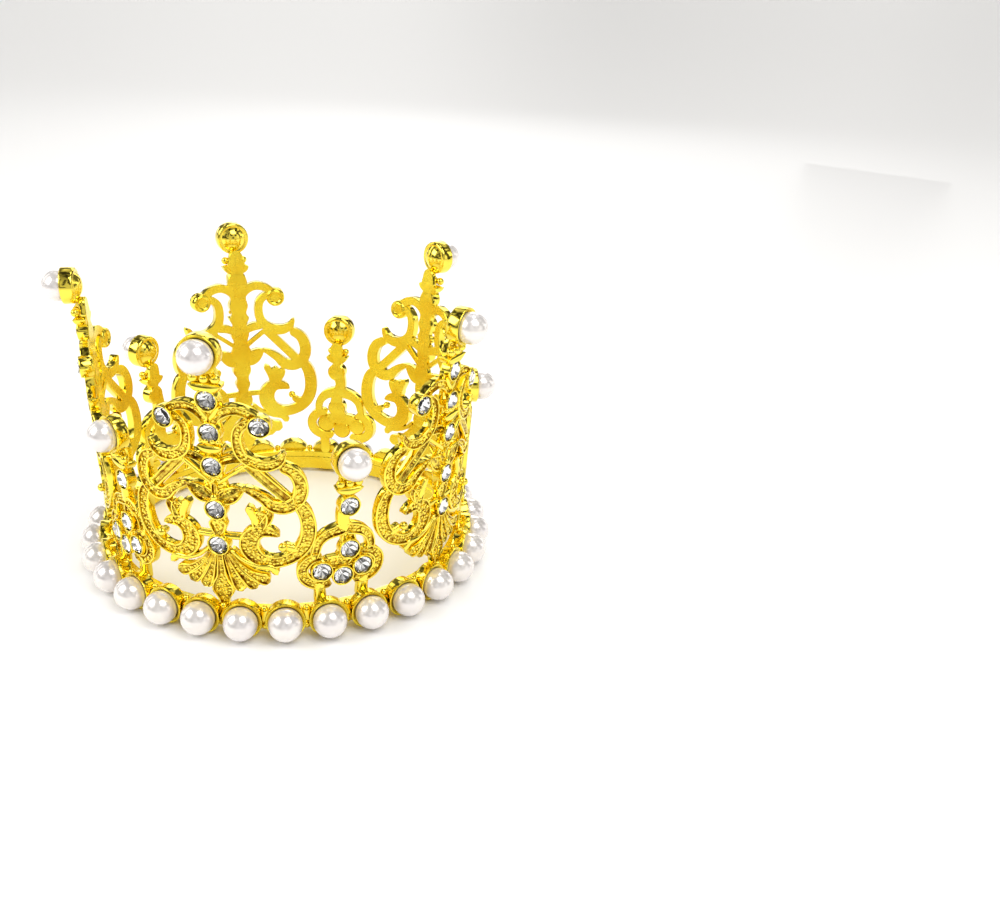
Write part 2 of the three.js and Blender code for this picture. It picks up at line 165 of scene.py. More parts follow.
BAND_STRIP = [(40.0, 1.2), (40.15, 1.05), (41.85, 1.05), (42.0, 1.2), (42.0, 6.1), (41.85, 6.25),
              (40.15, 6.25), (40.0, 6.1), (40.0, 4.75), (39.82, 4.6), (39.82, 4.2), (40.0, 4.05),
              (40.0, 1.2)]
LIP_HEIGHT = 1.9  # above it, the slope inside a cup's rim
SEAT_FLOOR_R = 1.7
SIDE_STONE_X = 9  # stones further out than this have a round-backed setting
TIE_BEAD_R = 0.75
TIE_BEAD_Y = 2.2
BEAD_RISE = 0.3

# ---- A bar's section ----
SECTION_POINTS = 15
BACK_FACES = (0, 13, 14)
RECESS_FACES = (5, 6, 7, 8)
# face from its edge to its middle, as share of half the bar's width, and height
BAR_FACES = {
    "flat": [(1, -0.95), (0.95, -0.72), (0.86, -0.6), (0.6, -0.56), (0.3, -0.54), (0, -0.54)],
    "round": [(1, -0.95), (0.93, -0.45), (0.77, -0.12), (0.52, 0.14), (0.26, 0.27), (0, 0.31)],
    "smooth": [(1, -0.62), (0.93, -0.33), (0.78, -0.13), (0.52, 0), (0.26, 0.06), (0, 0.08)],
}
FLAT_FLOOR = 0.54
# the rim of a recessed bar, as share of its width inwards, and height
RIM = [(0, -0.2), (0.2, -0.05), (0.5, 0), (0.8, -0.05)]
RIM_FOOT = 1.05  # where a grained floor starts, in rim widths
WIDEST_RIM = 0.42  # shares of half the bar's width
DEEPEST_RECESS = 0.6
RIB_HALF = 0.34
VEIN_DEPTH = 0.12  # share of the recess's depth that is left over a leaf's vein
BACK_CHAMFER = 0.15
BACK_DEPTH = 0.2  # what is nearer than this to the back takes a small share of the lift
BACK_LIFT = 0.2

# ---- A bar's run, and the grains on its floor ----
STEP = 0.42  # between two stations along a scroll
CURVE_SAMPLES = 16  # between two of its given points
FEWEST_STEPS = 4
SHORT_RUN = 8  # a run of fewer steps has them closer at its ends
BLUNT_END = 0.12  # share of its width that a bar keeps at its very end
RECESS_START = 0.35  # from a bar's end, and how far the recess takes to reach its depth
RECESS_RAMP = 0.5
MIRROR_DROP = 0.013  # keeps a bar and its mirror image off one plane where they cross
GRAIN_PITCH = 2.3  # in grain radii
GRAIN_START = 0.6
GRAIN_STOP = 0.5
GRAIN_SCATTER = 0.12  # across a row
GRAIN_DRIFT = 0.14  # along it
VEIN_HALF = 0.3  # left bare on each side of a leaf's middle
BARS_CLEAR = 2.15  # bars nearer than this to a stone's middle are sunk
SUNK_BAR = -1.0
GRAINS_CLEAR = 2.3  # grains nearer than this are left out

# ---- A cut stone ----
STONE_FACETS = 12
STONE_TABLE = 0.58  # share of its radius
STONE_CROWN = 0.62
STONE_GAP = 0.04  # between the clear stone and its foil
STONE_RISE = 0.32  # of its girdle over the casting's face
FOIL_DEPTH = 0.9
FOIL_SCALLOP = -0.3
FOIL_THICKNESS = 0.06
FOIL_PAINTED_REFLECTIONS = (("foil_painted_bright_reflection", 1.0), ("foil_painted_grey_reflection", 0.4), ("foil_painted_dark_reflection", 0.03))  # share of the foil's brightness in each tone of painted reflection
FACET_PAINTED_REFLECTIONS = (0, 2, 1, 0, 2, 0, 1, 2, 0, 1, 0, 2)  # which painted reflection tone each facet's foil has, round the stone

# ---- The stage, in metres ----
TABLE_HALF = 40
VIEW_FROM = (0.08887, -0.24274, 0.14083)
VIEW_RIGHT = Vector((0.9836, 0.1735, 0.0486))
VIEW_UP = Vector((-0.1157, 0.4013, 0.9086))
VIEW_BACK = Vector((0.1382, -0.8994, 0.4147))
LENS_MM = 41.73
SENSOR_MM = 36
LIT_POINT = Vector((0, 0, 0.03))
# each soft light: direction from the lit point, distance, side and watts
SOFTBOXES = {
    "softbox_left": (VIEW_RIGHT * -0.70 + VIEW_UP * 0.44 + VIEW_BACK * 0.55, 0.55, 0.32, 1.15),
    "softbox_right": (VIEW_RIGHT * 0.40 + VIEW_UP * 0.54 + VIEW_BACK * 0.74, 0.55, 0.32, 1.15),
    "softbox_top": (Vector((0.1, 0.25, 1)), 0.55, 0.2, 0.35),
    "softbox_back": (Vector((-0.1, 1, 0.5)), 0.7, 0.4, 0.5),
}
# each dark card, which only reflections see: direction, distance, width and height
DARK_CARDS = {
    "dark_card_front": (VIEW_RIGHT * -0.14 + VIEW_UP * 0.2 + VIEW_BACK * 1.0, 0.5, 0.07, 0.3),
    "dark_card_left": (Vector((-1, -0.1, 0.3)), 0.5, 0.10, 0.4),
    "dark_card_right": (Vector((1, 0.1, 0.3)), 0.5, 0.10, 0.4),
    "dark_card_back": (Vector((0.35, 1, 0.35)), 0.6, 0.10, 0.5),
    "dark_card_top": (VIEW_RIGHT * 0.1 + VIEW_UP * 0.97 + VIEW_BACK * 0.1, 0.5, 0.06, 0.5),
}


# ---- Settings that a user would change ----
def length(name, description, value):
    return FloatProperty(name=name, description=description, default=value, unit="LENGTH", precision=5)


def colour(name, description, value):
    return FloatVectorProperty(name=name, description=description, default=value, subtype="COLOR", size=3,
                               min=0, max=1)


class CrownSizes(PropertyGroup):
    sheet: length("Sheet", "Thickness of the cast metal", 0.002)
    rim: length("Rim", "Width of the raised rim along a scroll", 0.00052)
    recess: length("Recess", "Depth of a scroll's grained floor under its rims", 0.00058)
    granule: length("Granule", "Radius of a grain on the scroll floors", 0.00031)
    pearl: length("Pearl", "Radius of a band pearl", 0.00368)
    tip_pearl: length("Tip pearl", "Radius of the pearl at a peak's tip", 0.00347)
    stone: length("Stone", "Radius of a cut stone", 0.00192)


class CrownColours(PropertyGroup):
    plate: colour("Plate", "Polished gold plate", (0.98, 0.78, 0.095))
    # Deep plate is painted shade: a dark tone laid in random patches on the grained recess floors only
    deep_tone_and_painted_shade: colour("Deep plate", "Gold plate where it pools darker", (0.30, 0.14, 0.008))
    satin: colour("Satin plate", "Gold plate on the cast backs", (0.98, 0.82, 0.07))
    satin_deep: colour("Deep satin plate", "Gold plate on the cast backs where it pools", (0.88, 0.62, 0.03))
    nacre: colour("Nacre", "Pearl coating", (0.90, 0.855, 0.815))
    nacre_shade: colour("Nacre shade", "Pearl coating where it thins", (0.83, 0.785, 0.775))
    foil: colour("Foil", "Silver foil behind a stone", (1.0, 1.0, 1.0))
    floor: colour("Floor", "The pale table top", (0.94, 0.935, 0.93))


# ---- Materials ----
def group_socket(tree, name, kind, direction, default=None):
    socket = tree.interface.new_socket(name, in_out=direction, socket_type=kind)
    if default is not None:
        socket.default_value = default


def cast_tone_group():
    """Two tones of one coating, with a fine grain: puts out colour, roughness and height."""
    tree = bpy.data.node_groups.new("cast_tone", "ShaderNodeTree")
    group_socket(tree, "Light", "NodeSocketColor", "INPUT", (1, 1, 1, 1))
    group_socket(tree, "Deep", "NodeSocketColor", "INPUT", (0.5, 0.5, 0.5, 1))
    group_socket(tree, "Patch Scale", "NodeSocketFloat", "INPUT", 200)
    group_socket(tree, "Grain Scale", "NodeSocketFloat", "INPUT", 2000)
    group_socket(tree, "Smooth", "NodeSocketFloat", "INPUT", 0.1)
    group_socket(tree, "Rough", "NodeSocketFloat", "INPUT", 0.2)
    group_socket(tree, "Colour", "NodeSocketColor", "OUTPUT")
    group_socket(tree, "Roughness", "NodeSocketFloat", "OUTPUT")
    group_socket(tree, "Height", "NodeSocketFloat", "OUTPUT")
    nodes, link = tree.nodes, tree.links.new
    given = nodes.new("NodeGroupInput")
    result = nodes.new("NodeGroupOutput")
    place = nodes.new("ShaderNodeTexCoord")
    patches = nodes.new("ShaderNodeTexNoise")
    patches.inputs["Detail"].default_value = 3
    grain = nodes.new("ShaderNodeTexNoise")
    grain.inputs["Detail"].default_value = 2
    for noise, scale in ((patches, "Patch Scale"), (grain, "Grain Scale")):
        link(place.outputs["Object"], noise.inputs["Vector"])
        link(given.outputs[scale], noise.inputs["Scale"])
    # random patches mix the light and the deep tone; on the grained recess the deep tone is painted shade
    spread = nodes.new("ShaderNodeMapRange")
    spread.inputs["From Min"].default_value = 0.35
    spread.inputs["From Max"].default_value = 0.65
    link(patches.outputs["Fac"], spread.inputs["Value"])
    tones = nodes.new("ShaderNodeMix")
    tones.data_type = "RGBA"
    link(spread.outputs["Result"], tones.inputs["Factor"])
    link(given.outputs["Light"], tones.inputs["A"])
    link(given.outputs["Deep"], tones.inputs["B"])
    shine = nodes.new("ShaderNodeMix")
    link(grain.outputs["Fac"], shine.inputs["Factor"])
    link(given.outputs["Smooth"], shine.inputs["A"])
    link(given.outputs["Rough"], shine.inputs["B"])
    link(tones.outputs["Result"], result.inputs["Colour"])
    link(shine.outputs["Result"], result.inputs["Roughness"])
    link(grain.outputs["Fac"], result.inputs["Height"])
    return tree


def coated(name, light, deep_tone_and_painted_shade, patch, grain, smooth, rough, bump, metallic=1.0):
    """A material on the cast_tone group; gives it with its Principled node."""
    material = bpy.data.materials.new(name)
    material.use_nodes = True
    nodes, link = material.node_tree.nodes, material.node_tree.links.new
    shader = nodes["Principled BSDF"]
    tone = nodes.new("ShaderNodeGroup")
    tone.node_tree = bpy.data.node_groups.get("cast_tone") or cast_tone_group()
    values = {"Light": (*light, 1), "Deep": (*deep_tone_and_painted_shade, 1), "Patch Scale": patch, "Grain Scale": grain,
              "Smooth": smooth, "Rough": rough}
    for socket, value in values.items():
        tone.inputs[socket].default_value = value
    relief = nodes.new("ShaderNodeBump")
    relief.inputs["Strength"].default_value = bump
    relief.inputs["Distance"].default_value = 0.0001
    link(tone.outputs["Height"], relief.inputs["Height"])
    link(relief.outputs["Normal"], shader.inputs["Normal"])
    link(tone.outputs["Colour"], shader.inputs["Base Color"])
    link(tone.outputs["Roughness"], shader.inputs["Roughness"])
    shader.inputs["Metallic"].default_value = metallic
    material.diffuse_color = (*light, 1)
    return material, shader


def gold_finishes():
    """Polished plate, grained recess with painted shade on its floors, and satin back, in the order of a
    casting's material slots.
    """
    if "polished_plate" not in bpy.data.materials:
        colours = bpy.context.scene.crown_colours
        coated("polished_plate", colours.plate, colours.plate, patch=260, grain=1800, smooth=0.07,
               rough=0.13, bump=0.06)
        # the grained recess takes painted shade: the dark deep tone in random patches on its floors, between
        # the grains
        coated("grained_recess_painted_shade", colours.plate, colours.deep_tone_and_painted_shade, patch=900, grain=2600, smooth=0.14,
               rough=0.28, bump=0.8)
        coated("satin_back", colours.satin, colours.satin_deep, patch=90, grain=420, smooth=0.2,
               rough=0.32, bump=0.4, metallic=0.88)
    return [bpy.data.materials[name] for name in ("polished_plate", "grained_recess_painted_shade", "satin_back")]


def nacre_finish():
    """The pearls' coating."""
    if "pearl_nacre" not in bpy.data.materials:
        colours = bpy.context.scene.crown_colours
        _, shader = coated("pearl_nacre", colours.nacre, colours.nacre_shade, patch=160, grain=900,
                           smooth=0.2, rough=0.27, bump=0.01, metallic=0.5)
        shader.inputs["Coat Weight"].default_value = 0.5
        shader.inputs["Coat Roughness"].default_value = 0.1
    return bpy.data.materials["pearl_nacre"]


def stone_finishes():
    """The clear stone and its foil in three tones of painted reflection, in the order of its material slots."""
    if "clear_stone" not in bpy.data.materials:
        colours = bpy.context.scene.crown_colours
        clear = bpy.data.materials.new("clear_stone")
        clear.use_nodes = True
        shader = clear.node_tree.nodes["Principled BSDF"]
        shader.inputs["Base Color"].default_value = (1, 1, 1, 1)
        shader.inputs["Roughness"].default_value = 0.01
        shader.inputs["IOR"].default_value = 1.55
        shader.inputs["Transmission Weight"].default_value = 1.0
        # one silver foil in a bright, a grey and a dark tone: painted reflections
        for name, share in FOIL_PAINTED_REFLECTIONS:
            tone = [share * value for value in colours.foil]
            coated(name, tone, tone, patch=700, grain=3000, smooth=0.06, rough=0.12, bump=0.02)
    return [bpy.data.materials[name] for name in ("clear_stone", *(name for name, _ in FOIL_PAINTED_REFLECTIONS))]


# ---- Mesh tools ----
PLATE, RECESS, BACK = range(3)  # the slots that gold_finishes fills


def on_ring(x, y, z, lean):
    """A point of a casting's flat sheet, bent round the ring: x along it, y up, z out of its face."""
    turn = x / FACE_R
    radius = FACE_R + z * math.cos(lean) + y * math.sin(lean)
    height = CUP_CENTRE_Z + y * math.cos(lean) - z * math.sin(lean)
    return Vector((radius * math.sin(turn), -radius * math.cos(turn), height))


def placed(x, y, lean):
    """The place of a turned piece that stands square on the bent sheet, its axis as Z."""
    origin = on_ring(x, y, 0, lean)
    outward = (on_ring(x, y, 1, lean) - origin).normalized()
    upward = (on_ring(x, y + 1, 0, lean) - origin).normalized()
    across = upward.cross(outward)
    return Matrix.Translation(origin) @ Matrix((across, upward, outward)).transposed().to_4x4()


def peak_turn(i, short=False):
    """How far round the ring a tall peak stands, or the short one that follows it."""
    return 2 * math.pi * i / PEAK_PAIRS + (math.pi / PEAK_PAIRS if short else 0)


def shade_smooth(bm):
    for face in bm.faces:
        face.smooth = True


def smooth_path(points):
    """Stations along a smooth curve through x, y, width points: place, unit across, width, distance, length."""
    knots = [Vector(p) for p in points]
    ends = [knots[0] * 2 - knots[1], *knots, knots[-1] * 2 - knots[-2]]
    fine = []
    for a, b, c, d in zip(ends, ends[1:], ends[2:], ends[3:]):
        t0 = 0.0
        t1 = t0 + (b.xy - a.xy).length ** 0.5
        t2 = t1 + (c.xy - b.xy).length ** 0.5
        t3 = t2 + (d.xy - c.xy).length ** 0.5
        for i in range(CURVE_SAMPLES):
            t = t1 + (t2 - t1) * i / CURVE_SAMPLES
            ab = a.lerp(b, (t - t0) / (t1 - t0))
            bc = b.lerp(c, (t - t1) / (t2 - t1))
            cd = c.lerp(d, (t - t2) / (t3 - t2))
            abc = ab.lerp(bc, (t - t0) / (t2 - t0))
            bcd = bc.lerp(cd, (t - t1) / (t3 - t1))
            fine.append(abc.lerp(bcd, (t - t1) / (t2 - t1)))
    fine.append(knots[-1])
    run = [0.0]
    for a, b in zip(fine, fine[1:]):
        run.append(run[-1] + (b.xy - a.xy).length)
    count = max(FEWEST_STEPS, round(run[-1] / STEP))
    stations = []
    k = 0
    for i in range(count + 1):
        share = 0.5 - 0.5 * math.cos(math.pi * i / count) if count < SHORT_RUN else i / count
        at = share * run[-1]
        while k < len(run) - 2 and run[k + 1] < at:
            k += 1
        part = (at - run[k]) / max(run[k + 1] - run[k], 1e-9)
        point = fine[k].lerp(fine[k + 1], part)
        along = (fine[min(k + 2, len(fine) - 1)].xy - fine[max(k - 1, 0)].xy).normalized()
        stations.append((point.xy, Vector((along.y, -along.x)), point.z, at, run[-1]))
    return stations


def half_section(finish, half, open_by, sheet, rim_width, recess):
    """Right half of a bar's section, from its back to the middle of its face: distance across, height."""
    edge = [(half - BACK_CHAMFER * min(1, half), -sheet), (half, BACK_CHAMFER - sheet)]
    if finish in BAR_FACES:
        return edge + [(half * share, height) for share, height in BAR_FACES[finish]]
    rim = min(rim_width, half * WIDEST_RIM)
    depth = min(recess, half * DEEPEST_RECESS) * open_by
    edge += [(half - rim * share, height) for share, height in RIM]
    if finish == "veined":
        return edge + [(half - rim, -depth), (0, -depth * VEIN_DEPTH)]
    if finish == "ribbed":
        return edge + [(half * RIB_HALF, -depth), (0, -depth)]
    return edge + [(half - rim * RIM_FOOT, -depth), (0, -depth)]


def bar(finish, lift, points, sizes, grit):
    """One scroll as a closed bar with rims and a recessed floor, in the flat sheet. Millimetres."""
    stations = smooth_path(points)
    sheet = sizes.sheet / MM
    bm = bmesh.new()
    bmesh.ops.create_grid(bm, x_segments=len(stations) - 1, y_segments=SECTION_POINTS, size=1)
    columns = sorted(bm.verts, key=lambda v: (round(v.co.x, 6), round(v.co.y, 6)))
    rank = {}
    for n, vert in enumerate(columns):
        i, j = divmod(n, SECTION_POINTS + 1)
        place, across, width, at, total = stations[i]
        half = width / 2
        end = min(at, total - at)
        rounding = min(1.0, end / half)
        half *= max(math.sqrt(1 - (1 - rounding) ** 2), BLUNT_END)
        open_by = min(1.0, max(0.0, (end - RECESS_START) / RECESS_RAMP))
        right = half_section(finish, half, open_by, sheet, sizes.rim / MM, sizes.recess / MM)
        ring = right + [(-s, z) for s, z in reversed(right[:-1])]
        s, z = ring[j % SECTION_POINTS]
        z += lift if z > BACK_DEPTH - sheet else abs(lift) * BACK_LIFT
        vert.co = Vector((*(place + across * s), z))
        rank[vert] = j
    for face in bm.faces:
        j = min(rank[v] for v in face.verts)
        face.material_index = BACK if j in BACK_FACES else PLATE
        if finish not in BAR_FACES and j in RECESS_FACES:
            face.material_index = RECESS
        face.smooth = True
    bmesh.ops.remove_doubles(bm, verts=bm.verts, dist=1e-4)
    bmesh.ops.holes_fill(bm, edges=[e for e in bm.edges if e.is_boundary], sides=0)
    bmesh.ops.recalc_face_normals(bm, faces=bm.faces)
    grains(stations, finish, lift, sizes, grit)
    return bm


def grains(stations, finish, lift, sizes, grit):
    """Adds this bar's grains to grit, row by row: place, height, radius, turn and stretch."""
    if finish not in ("grained", "veined", "flat"):
        return
    radius = sizes.granule / MM
    floor = lift - (FLAT_FLOOR if finish == "flat" else sizes.recess / MM)
    rng = random.Random(round(stations[0][0].x * 97 + stations[0][0].y * 31))
    pitch = radius * GRAIN_PITCH
    at = GRAIN_START
    total = stations[0][4]
    k = 0
    row = 0
    while at < total - GRAIN_STOP:
        while k < len(stations) - 2 and stations[k + 1][3] < at:
            k += 1
        place, across, width, here, _ = stations[k]
        ahead = stations[k + 1]
        part = (at - here) / max(ahead[3] - here, 1e-6)
        place = place.lerp(ahead[0], part)
        across = across.lerp(ahead[1], part).normalized()
        width += (ahead[2] - width) * part
        room = width - 2 * sizes.rim / MM - radius
        if room > 0:
            count = max(1, round(room / pitch))
            for n in range(count):
                s = (n - (count - 1) / 2) * (room / count) + rng.uniform(-GRAIN_SCATTER, GRAIN_SCATTER)
                if finish == "veined" and abs(s) < VEIN_HALF:
                    continue
                staggered = row % 2 and count > 1
                shift = rng.uniform(-GRAIN_DRIFT, GRAIN_DRIFT) + (0.5 * pitch if staggered else 0) * (n % 2)
                along = Vector((-across.y, across.x))
                spot = place + across * s + along * shift
                grit.append((spot, floor + radius * rng.uniform(0.1, 0.5), radius * rng.uniform(0.75, 1.15),
                             rng.uniform(0, math.pi), rng.uniform(0.9, 1.7)))
        at += pitch * rng.uniform(0.9, 1.12)
        row += 1


def add_mesh(bm, other, transform=None):
    """Copies a bmesh into another, moved by transform."""
    mesh = bpy.data.meshes.new("carrier")
    other.to_mesh(mesh)
    if transform is not None:
        mesh.transform(transform)
    bm.from_mesh(mesh)
    bpy.data.meshes.remove(mesh)


def turned(profile, sides):
    """A closed round piece, by turning a radius, height profile about Z."""
    bm = bmesh.new()
    verts = [bm.verts.new((r, 0, z)) for r, z in profile]
    edges = [bm.edges.new(pair) for pair in zip(verts, verts[1:])]
    bmesh.ops.spin(bm, geom=verts + edges, cent=(0, 0, 0), axis=(0, 0, 1), dvec=(0, 0, 0), angle=2 * math.pi,
                   steps=sides, use_merge=True, use_duplicate=False)
    bmesh.ops.remove_doubles(bm, verts=bm.verts, dist=1e-4)
    bmesh.ops.recalc_face_normals(bm, faces=bm.faces)
    shade_smooth(bm)
    return bm


def plate(outline, back, front):
    """A flat plate in the sheet, from an outline: the grained recess finish with its painted shade in front,
    satin behind.
    """
    bm = bmesh.new()
    verts = [bm.verts.new((x, y, back)) for x, y in outline]
    for pair in zip(verts, verts[1:] + verts[:1]):
        bm.edges.new(pair)
    bmesh.ops.contextual_create(bm, geom=list(bm.verts) + list(bm.edges))
    out = bmesh.ops.extrude_face_region(bm, geom=list(bm.faces))["geom"]
    raised = [v for v in out if isinstance(v, bmesh.types.BMVert)]
    bmesh.ops.translate(bm, verts=raised, vec=(0, 0, front - back))
    bmesh.ops.triangulate(bm, faces=bm.faces)
    bmesh.ops.recalc_face_normals(bm, faces=bm.faces)
    for face in bm.faces:
        face.material_index = RECESS if face.normal.z > 0.5 else BACK if face.normal.z < -0.5 else PLATE
    return bm


def bend(bm, lean):
    for vert in bm.verts:
        vert.co = on_ring(*vert.co, lean)


def mirrored(strokes):
    return [(finish, lift - MIRROR_DROP, [[-x, y, w] for x, y, w in points])
            for finish, lift, points in strokes]


def near_stone(spot, stones, reach):
    return any((spot - Vector(centre)).length < reach for centre in stones)


def openwork(strokes, beads, plates, stones, lean, sizes):
    """All bars, grains and beads of one peak, bent to the ring. Millimetres."""
    bm = bmesh.new()
    grit = []
    for finish, lift, points in strokes:
        piece = bar(finish, lift, points, sizes, grit)
        add_mesh(bm, piece)
        piece.free()
    for piece in plates:
        add_mesh(bm, piece)
        piece.free()
    for vert in bm.verts:
        if near_stone(vert.co.xy, stones, BARS_CLEAR):
            vert.co.z = min(vert.co.z, SUNK_BAR)
    dots = bmesh.new()
    for spot, height, radius, turn, stretch in grit:
        if near_stone(spot, stones, GRAINS_CLEAR):
            continue
        place = (Matrix.Translation((*spot, height)) @ Matrix.Rotation(turn, 4, "Z")
                 @ Matrix.Diagonal((stretch, 1, 0.9, 1)))
        bmesh.ops.create_icosphere(dots, subdivisions=1, radius=radius, matrix=place)
    for x, y, radius in beads:
        bmesh.ops.create_icosphere(dots, subdivisions=3, radius=radius,
                                   matrix=Matrix.Translation((x, y, BEAD_RISE)))
    shade_smooth(dots)
    add_mesh(bm, dots)
    dots.free()
    bend(bm, lean)
    return bm


def stand(bm, name, turn, materials, replaced, crease=38):
    """A finished piece in metres, turned round the ring, riding on the crown."""
    mesh = bpy.data.meshes.new(name)
    bm.to_mesh(mesh)
    mesh.transform(Matrix.Rotation(turn, 4, "Z") @ Matrix.Scale(MM, 4))
    for material in materials:
        mesh.materials.append(material)
    mesh.set_sharp_from_angle(angle=math.radians(crease))
    piece = bpy.data.objects.new(name, mesh)
    bpy.context.scene.collection.objects.link(piece)
    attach(piece, "root")
    if replaced:
        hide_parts(*replaced)


# ---- Pieces ----
def studio_world(scene):
    """Pale surroundings. What the metal mirrors is patchy, and dimmer overhead and towards the front."""
    world = bpy.data.worlds.new("studio")
    world.use_nodes = True
    nodes, link = world.node_tree.nodes, world.node_tree.links.new
    background = nodes["Background"]
    direction = nodes.new("ShaderNodeTexCoord")
    split = nodes.new("ShaderNodeSeparateXYZ")
    link(direction.outputs["Generated"], split.inputs["Vector"])

    def graded(value, low, high, at_low, at_high):
        grade = nodes.new("ShaderNodeMapRange")
        for name, number in (("From Min", low), ("From Max", high), ("To Min", at_low), ("To Max", at_high)):
            grade.inputs[name].default_value = number
        link(value, grade.inputs["Value"])
        return grade.outputs["Result"]

    def combined(how, a, b):
        step = nodes.new("ShaderNodeMath")
        step.operation = how
        for socket, value in zip(step.inputs, (a, b)):
            link(value, socket)
        return step.outputs[0]

    panels = nodes.new("ShaderNodeTexNoise")
    panels.inputs["Scale"].default_value = 2.6
    panels.inputs["Detail"].default_value = 1
    link(direction.outputs["Generated"], panels.inputs["Vector"])
    depth = graded(split.outputs["Y"], -0.7, 0.3, 0.48, 1.2)
    ceiling = graded(split.outputs["Z"], 0.55, 0.9, 1.0, 0.25)
    patches = graded(panels.outputs["Fac"], 0.45, 0.53, 0.12, 1.4)
    mirrored_room = combined("MULTIPLY", combined("MULTIPLY", depth, ceiling), patches)
    path = nodes.new("ShaderNodeLightPath")
    room = nodes.new("ShaderNodeMix")
    link(path.outputs["Is Glossy Ray"], room.inputs["Factor"])
    link(graded(split.outputs["Y"], -0.7, 0.3, 0.68, 0.95), room.inputs["A"])
    link(mirrored_room, room.inputs["B"])
    seen = nodes.new("ShaderNodeMix")
    link(path.outputs["Is Camera Ray"], seen.inputs["Factor"])
    link(room.outputs["Result"], seen.inputs["A"])
    seen.inputs["B"].default_value = 1.0
    link(seen.outputs["Result"], background.inputs["Strength"])
    background.inputs["Color"].default_value = (1.0, 0.99, 0.97, 1)
    scene.world = world


class CROWN_OT_stage(Operator):
    """Set out the pale floor, the soft lights and the camera"""
    bl_idname = "crown.stage"
    bl_label = "Stage"

    def execute(self, context):
        scene = context.scene
        colours = scene.crown_colours
        scene.view_settings.view_transform = "Standard"
        bm = bmesh.new()
        bmesh.ops.create_grid(bm, x_segments=1, y_segments=1, size=TABLE_HALF)
        mesh = bpy.data.meshes.new("table_top")
        bm.to_mesh(mesh)
        bm.free()
        floor = bpy.data.objects.new("table_top", mesh)
        scene.collection.objects.link(floor)
        material, shader = coated("table_top", colours.floor, colours.floor, patch=20, grain=300,
                                  smooth=0.45, rough=0.5, bump=0.01, metallic=0.0)
        shader.inputs["Specular IOR Level"].default_value = 0.25
        mesh.materials.append(material)

        camera = bpy.data.cameras.new("camera")
        camera.lens = LENS_MM
        camera.sensor_width = SENSOR_MM
        view = bpy.data.objects.new("camera", camera)
        axes = Matrix((VIEW_RIGHT, VIEW_UP, VIEW_BACK)).transposed().to_4x4()
        view.matrix_world = Matrix.Translation(VIEW_FROM) @ axes
        scene.collection.objects.link(view)
        scene.camera = view

        studio_world(scene)
        for name, (direction, distance, size, power) in SOFTBOXES.items():
            light = bpy.data.lights.new(name, "AREA")
            light.shape = "SQUARE"
            light.size = size
            light.energy = power
            lamp = bpy.data.objects.new(name, light)
            lamp.location = LIT_POINT + direction.normalized() * distance
            lamp.rotation_euler = direction.to_track_quat("Z", "Y").to_euler()
            scene.collection.objects.link(lamp)

        dark = bpy.data.materials.new("dark_card")
        dark.use_nodes = True
        dark.node_tree.nodes["Principled BSDF"].inputs["Base Color"].default_value = (0.01, 0.008, 0.006, 1)
        for name, (direction, distance, width, height) in DARK_CARDS.items():
            bm = bmesh.new()
            turn = direction.to_track_quat("Z", "Y").to_matrix().to_4x4()
            place = Matrix.Translation(LIT_POINT + direction.normalized() * distance)
            bmesh.ops.create_grid(bm, x_segments=1, y_segments=1, size=0.5,
                                  matrix=place @ turn @ Matrix.Diagonal((width, height, 1, 1)))
            mesh = bpy.data.meshes.new(name)
            bm.to_mesh(mesh)
            bm.free()
            mesh.materials.append(dark)
            card = bpy.data.objects.new(name, mesh)
            card.visible_camera = False
            card.visible_diffuse = False
            card.visible_shadow = False
            scene.collection.objects.link(card)
        return {"FINISHED"}


def is_lip(face):
    """Whether a cup's face is on the slope inside its rim, which is left satin."""
    return face.normal.z > 0.5 and face.calc_center_median().z > LIP_HEIGHT


class CROWN_OT_band(Operator):
    """Model the cast band with its thirty pearl cups and the ties between them"""
    bl_idname = "crown.band"
    bl_label = "Band"

    def execute(self, context):
        bm = turned(BAND_STRIP, 240)
        for face in bm.faces:
            centre = face.calc_center_median()
            if face.normal.xy.dot(centre.xy) < -0.3 * centre.xy.length:
                face.material_index = BACK
        cup = turned(BAND_CUP, 48)
        for face in cup.faces:
            if is_lip(face) or face.normal.z < -0.8 and face.calc_center_median().z < -0.5:
                face.material_index = BACK
        bmesh.ops.bisect_plane(cup, geom=list(cup.verts) + list(cup.edges) + list(cup.faces),
                               plane_co=(0, -CUP_CENTRE_Z, 0), plane_no=(0, -1, 0), clear_outer=True)
        bmesh.ops.holes_fill(cup, edges=[e for e in cup.edges if e.is_boundary], sides=0)
        bead = bmesh.new()
        bmesh.ops.create_icosphere(bead, subdivisions=3, radius=TIE_BEAD_R)
        shade_smooth(bead)
        for i in range(PEARLS):
            x = 2 * math.pi * (i + 0.5) / PEARLS * FACE_R
            add_mesh(bm, cup, placed(x, 0, 0))
            between = 2 * math.pi * i / PEARLS * FACE_R
            for y in (TIE_BEAD_Y, -TIE_BEAD_Y):
                add_mesh(bm, bead, placed(between, y, 0) @ Matrix.Translation((0, 0, BEAD_RISE)))
        cup.free()
        bead.free()
        stand(bm, "cast_band", 0, gold_finishes(), ["base_band"])
        bm.free()
        return {"FINISHED"}


def add_settings(bm, stones, lean, cup_at):
    """Turned stone settings and the domed cup at the tip, set square on the bent sheet."""
    for profile, on_side in ((SETTING, False), (ROUND_SETTING, True)):
        setting = turned(profile, 32)
        for face in setting.faces:
            if face.calc_center_median().xy.length < SEAT_FLOOR_R and face.normal.z > 0:
                face.material_index = RECESS
            if face.normal.z < -0.9:
                face.material_index = BACK
        for x, y in stones:
            if (abs(x) > SIDE_STONE_X) == on_side:
                add_mesh(bm, setting, placed(x, y, lean))
        setting.free()
    cup = turned(DOMED_CUP, 56)
    for face in cup.faces:
        if is_lip(face):
            face.material_index = BACK
    add_mesh(bm, cup, placed(*cup_at, lean))
    cup.free()


